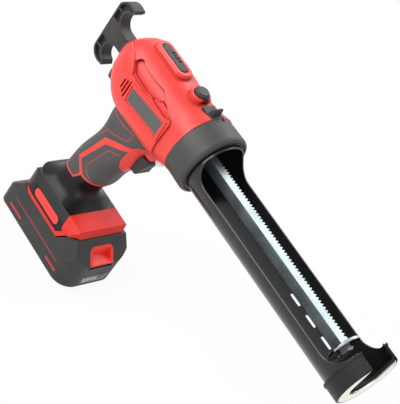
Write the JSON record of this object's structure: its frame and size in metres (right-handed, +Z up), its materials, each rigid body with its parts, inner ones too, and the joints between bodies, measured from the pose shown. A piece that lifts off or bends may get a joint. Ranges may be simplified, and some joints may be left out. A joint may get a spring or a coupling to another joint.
{
  "type": "cordless caulking tool",
  "caption": "Cordless caulking tool: pistol-grip housing, rack-driven pusher in an open cartridge cradle, T-shaped pull handle and slide-on battery.",
  "frame": {"origin": "centre of the flat underside of the battery, which the tool stands on", "axes": "+X forward along the barrel, +Y to the left of the user, +Z up"},
  "size_m": [0.3808, 0.069, 0.2389],
  "materials": {
    "red_shell": "satin moulded, bright red",
    "black_plastic": "satin moulded, black",
    "grip_rubber": "matte soft grip",
    "grey_plate": "matte grey",
    "black_paint": "glossy black paint",
    "zinc": "zinc plated",
    "plate_steel": "plated, pale",
    "steel": "bright",
    "case_alloy": "cast",
    "motor_can": "satin",
    "board": "lacquered",
    "contact_brass": "plated",
    "cell_wrap": "wrapped",
    "lens": "clear",
    "gauge": "satin grey"
  },
  "bodies": {
    "housing": {"right_shell": "red_shell", "left_shell": "red_shell", "rear_grip_rubber": "grip_rubber", "palm_grip_rubber": "grip_rubber", "side_plate": "grey_plate", "dial_bezel": "black_plastic", "rear_bumper": "grip_rubber", "housing_screws": "steel", "work_light_lens": "lens", "motor": "motor_can", "gear_case": "case_alloy", "trigger_switch": "black_plastic", "control_board": "board", "shaft_bearings": "steel", "front_guide": "black_plastic", "rear_guide": "black_plastic", "collar": "black_plastic", "foot_housing": "black_plastic", "foot_band": "red_shell", "foot_inlays": "red_shell", "terminal_block": "black_plastic", "terminal_blades": "contact_brass", "trigger_spring": "steel", "release_spring": "steel"},
    "plunger": {"rack": "zinc", "pull_handle": "black_plastic", "handle_screw": "steel", "pusher_plate": "zinc", "pusher_bolt": "steel"},
    "pinion": {"drive_pinion": "steel", "pinion_shaft": "steel"},
    "trigger_body": {"trigger": "black_plastic"},
    "release_body": {"release_button": "black_plastic"},
    "dial_body": {"speed_dial": "black_plastic"},
    "latch_body": {"collar_latch": "black_plastic"},
    "cradle": {"cradle_tube": "black_paint", "front_cap": "black_plastic", "front_plate": "plate_steel"},
    "battery": {"battery_tray": "black_plastic", "battery_cover": "black_plastic", "battery_cells": "cell_wrap", "battery_board": "board", "gauge_panel": "gauge", "key_spring": "steel"},
    "gauge_body": {"gauge_button": "gauge"},
    "key_body": {"battery_key": "red_shell"}
  },
  "joints": [
    {"name": "rack_slide", "type": "slide", "parent": "housing", "child": "plunger", "axis": [1, 0, 0], "range_m": [-0.175, 0]},
    {"name": "pinion_spin", "type": "hinge", "parent": "housing", "child": "pinion", "pos_m": [0.0195, 0.01308, 0.201], "axis": [0, 0, 1], "range_deg": [-1125, 10]},
    {"name": "trigger_pull", "type": "slide", "parent": "housing", "child": "trigger_body", "axis": [-1, 0, 0], "range_m": [0, 0.007], "stiffness_N_per_m": 700, "deforming": ["trigger_spring"]},
    {"name": "release_press", "type": "slide", "parent": "housing", "child": "release_body", "axis": [0, 0, -1], "range_m": [0, 0.003], "stiffness_N_per_m": 900, "deforming": ["release_spring"]},
    {"name": "dial_turn", "type": "hinge", "parent": "housing", "child": "dial_body", "pos_m": [-0.0065, 0.002, 0.2246], "axis": [0, 1, 0], "range_deg": [0, 270]},
    {"name": "latch_slide", "type": "slide", "parent": "housing", "child": "latch_body", "axis": [-1, 0, 0], "range_m": [0, 0.004], "stiffness_N_per_m": 500},
    {"name": "cradle_turn", "type": "hinge", "parent": "housing", "child": "cradle", "pos_m": [0.0855, 0, 0.201], "axis": [1, 0, 0], "continuous": true},
    {"name": "battery_slide", "type": "slide", "parent": "housing", "child": "battery", "axis": [1, 0, 0], "range_m": [0, 0.075]},
    {"name": "key_press", "type": "slide", "parent": "battery", "child": "key_body", "axis": [0, 0, -1], "range_m": [0, 0.003], "stiffness_N_per_m": 900, "deforming": ["key_spring"]},
    {"name": "gauge_press", "type": "slide", "parent": "battery", "child": "gauge_body", "axis": [-1, 0, 0], "range_m": [0, 0.0008], "stiffness_N_per_m": 900}
  ],
  "couplings": [
    {"joint": "pinion_spin", "follows": "rack_slide", "rad_per_m": 111.11}
  ]
}
